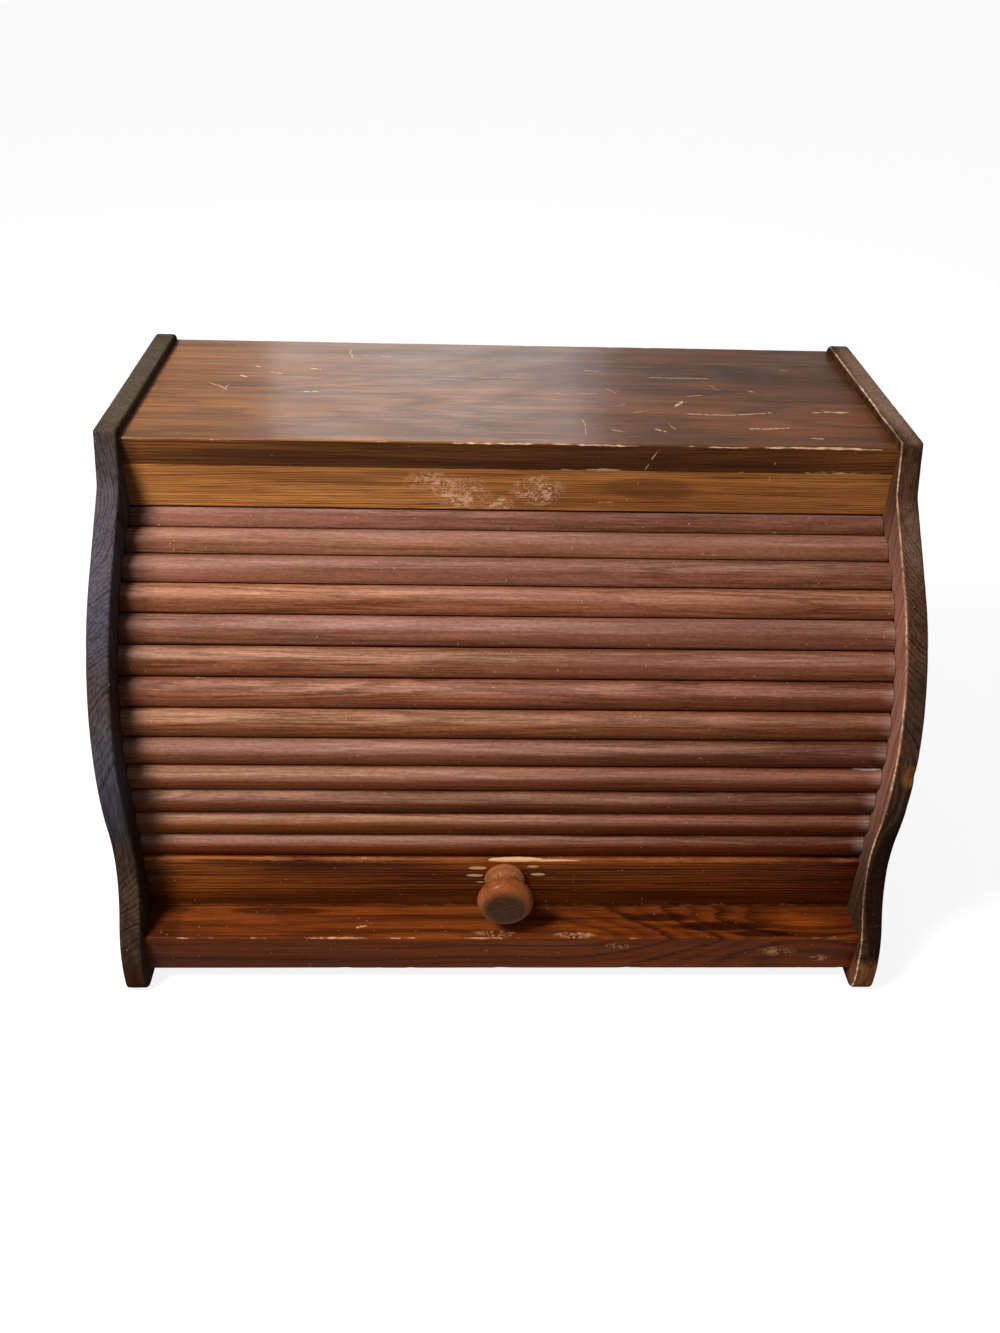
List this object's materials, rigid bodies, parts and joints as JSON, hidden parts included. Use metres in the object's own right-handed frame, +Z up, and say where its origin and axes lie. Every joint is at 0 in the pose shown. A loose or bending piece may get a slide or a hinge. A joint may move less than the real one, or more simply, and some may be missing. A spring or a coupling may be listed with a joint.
{
  "type": "roll-top bread box",
  "caption": "Wooden roll-top bread box: shaped side panels, top and base boards, and a slatted tambour with a turned knob that rolls back and down inside.",
  "frame": {"origin": "middle of the footprint, at the level that the side panels stand on", "axes": "+X to the right along the box, +Y to the back, +Z up"},
  "size_m": [0.432, 0.269, 0.2956],
  "materials": {
    "panel_wood": "dark walnut stain, worn satin lacquer",
    "base_wood": "red-brown stain, worn satin lacquer",
    "top_wood": "red-brown stain, scratched satin lacquer",
    "fascia_wood": "golden brown stain, satin lacquer",
    "slat_wood": "red-brown stain, satin lacquer",
    "rail_wood": "dark red-brown stain, satin lacquer",
    "knob_wood": "brown stain, satin lacquer",
    "back_plywood": "thin plywood, wiped stain",
    "dowel_wood": "raw beech",
    "canvas": "glued cotton duck",
    "screw_steel": "zinc-plated"
  },
  "bodies": {
    "cabinet": {"left_panel": "panel_wood", "right_panel": "panel_wood", "base_board": "base_wood", "top_board": "top_wood", "fascia": "fascia_wood", "back_panel": "back_plywood", "base_dowels": "dowel_wood", "top_dowels": "dowel_wood", "fascia_dowels": "dowel_wood"},
    "lift_rail": {"lift_rail": "rail_wood", "rail_canvas": "canvas", "knob": "knob_wood", "knob_screw": "screw_steel"},
    "slat_01": {"slat_01": "slat_wood", "canvas_01": "canvas"},
    "slat_02": {"slat_02": "slat_wood", "canvas_02": "canvas"},
    "slat_03": {"slat_03": "slat_wood", "canvas_03": "canvas"},
    "slat_04": {"slat_04": "slat_wood", "canvas_04": "canvas"},
    "slat_05": {"slat_05": "slat_wood", "canvas_05": "canvas"},
    "slat_06": {"slat_06": "slat_wood", "canvas_06": "canvas"},
    "slat_07": {"slat_07": "slat_wood", "canvas_07": "canvas"},
    "slat_08": {"slat_08": "slat_wood", "canvas_08": "canvas"},
    "slat_09": {"slat_09": "slat_wood", "canvas_09": "canvas"},
    "slat_10": {"slat_10": "slat_wood", "canvas_10": "canvas"},
    "slat_11": {"slat_11": "slat_wood", "canvas_11": "canvas"},
    "slat_12": {"slat_12": "slat_wood", "canvas_12": "canvas"},
    "slat_13": {"slat_13": "slat_wood", "canvas_13": "canvas"},
    "slat_14": {"slat_14": "slat_wood", "canvas_14": "canvas"}
  },
  "joints": [
    {"name": "tambour_roll", "type": "hinge", "parent": "cabinet", "child": "slat_05", "pos_m": [0, 0.0345, 0.1255], "axis": [-1, 0, 0], "range_deg": [0, 85]},
    {"name": "slat_06_fold", "type": "hinge", "parent": "slat_05", "child": "slat_06", "pos_m": [0, -0.08975, 0.15456], "axis": [-1, 0, 0], "range_deg": [0, 1.49]},
    {"name": "slat_07_fold", "type": "hinge", "parent": "slat_06", "child": "slat_07", "pos_m": [0, -0.08511, 0.16993], "axis": [-1, 0, 0], "range_deg": [0, 5.14]},
    {"name": "slat_08_fold", "type": "hinge", "parent": "slat_07", "child": "slat_08", "pos_m": [0, -0.07859, 0.18459], "axis": [-1, 0, 0], "range_deg": [0, 5.31]},
    {"name": "slat_09_fold", "type": "hinge", "parent": "slat_08", "child": "slat_09", "pos_m": [0, -0.07028, 0.19832], "axis": [-1, 0, 0], "range_deg": [0, 5.31]},
    {"name": "slat_10_fold", "type": "hinge", "parent": "slat_09", "child": "slat_10", "pos_m": [0, -0.06031, 0.2109], "axis": [-1, 0, 0], "range_deg": [0, 5.31]},
    {"name": "slat_11_fold", "type": "hinge", "parent": "slat_10", "child": "slat_11", "pos_m": [0, -0.04884, 0.22213], "axis": [-1, 0, 0], "range_deg": [0, 5.31]},
    {"name": "slat_12_fold", "type": "hinge", "parent": "slat_11", "child": "slat_12", "pos_m": [0, -0.03605, 0.23182], "axis": [-1, 0, 0], "range_deg": [0, 4.53]},
    {"name": "slat_13_fold", "type": "hinge", "parent": "slat_12", "child": "slat_13", "pos_m": [0, -0.02214, 0.23984], "axis": [1, 0, 0], "range_deg": [0, 4.6]},
    {"name": "slat_14_fold", "type": "hinge", "parent": "slat_13", "child": "slat_14", "pos_m": [0, -0.00734, 0.24605], "axis": [1, 0, 0], "range_deg": [0, 7.22]},
    {"name": "slat_04_fold", "type": "hinge", "parent": "slat_05", "child": "slat_04", "pos_m": [0, -0.09241, 0.13873], "axis": [1, 0, 0], "range_deg": [0, 0.12]},
    {"name": "slat_03_fold", "type": "hinge", "parent": "slat_04", "child": "slat_03", "pos_m": [0, -0.0931, 0.1227], "axis": [1, 0, 0], "range_deg": [0, 4.76]},
    {"name": "slat_02_fold", "type": "hinge", "parent": "slat_03", "child": "slat_02", "pos_m": [0, -0.0931, 0.10665], "axis": [1, 0, 0], "range_deg": [0, 7.22]},
    {"name": "slat_01_fold", "type": "hinge", "parent": "slat_02", "child": "slat_01", "pos_m": [0, -0.0931, 0.0906], "axis": [1, 0, 0], "range_deg": [0, 7.22]},
    {"name": "lift_rail_fold", "type": "hinge", "parent": "slat_01", "child": "lift_rail", "pos_m": [0, -0.0931, 0.07455], "axis": [1, 0, 0], "range_deg": [0, 12.14]}
  ],
  "couplings": [
    {"joint": "slat_06_fold", "follows": "tambour_roll", "ratio": 0.01736},
    {"joint": "slat_07_fold", "follows": "tambour_roll", "ratio": 0.060363},
    {"joint": "slat_08_fold", "follows": "tambour_roll", "ratio": 0.062389},
    {"joint": "slat_09_fold", "follows": "tambour_roll", "ratio": 0.062389},
    {"joint": "slat_10_fold", "follows": "tambour_roll", "ratio": 0.062389},
    {"joint": "slat_11_fold", "follows": "tambour_roll", "ratio": 0.062389},
    {"joint": "slat_12_fold", "follows": "tambour_roll", "ratio": 0.053185},
    {"joint": "slat_13_fold", "follows": "tambour_roll", "ratio": 0.054023},
    {"joint": "slat_14_fold", "follows": "tambour_roll", "ratio": 0.084843},
    {"joint": "slat_04_fold", "follows": "tambour_roll", "ratio": 0.0012927},
    {"joint": "slat_03_fold", "follows": "tambour_roll", "ratio": 0.055928},
    {"joint": "slat_02_fold", "follows": "tambour_roll", "ratio": 0.084843},
    {"joint": "slat_01_fold", "follows": "tambour_roll", "ratio": 0.084843},
    {"joint": "lift_rail_fold", "follows": "tambour_roll", "ratio": 0.14277}
  ]
}
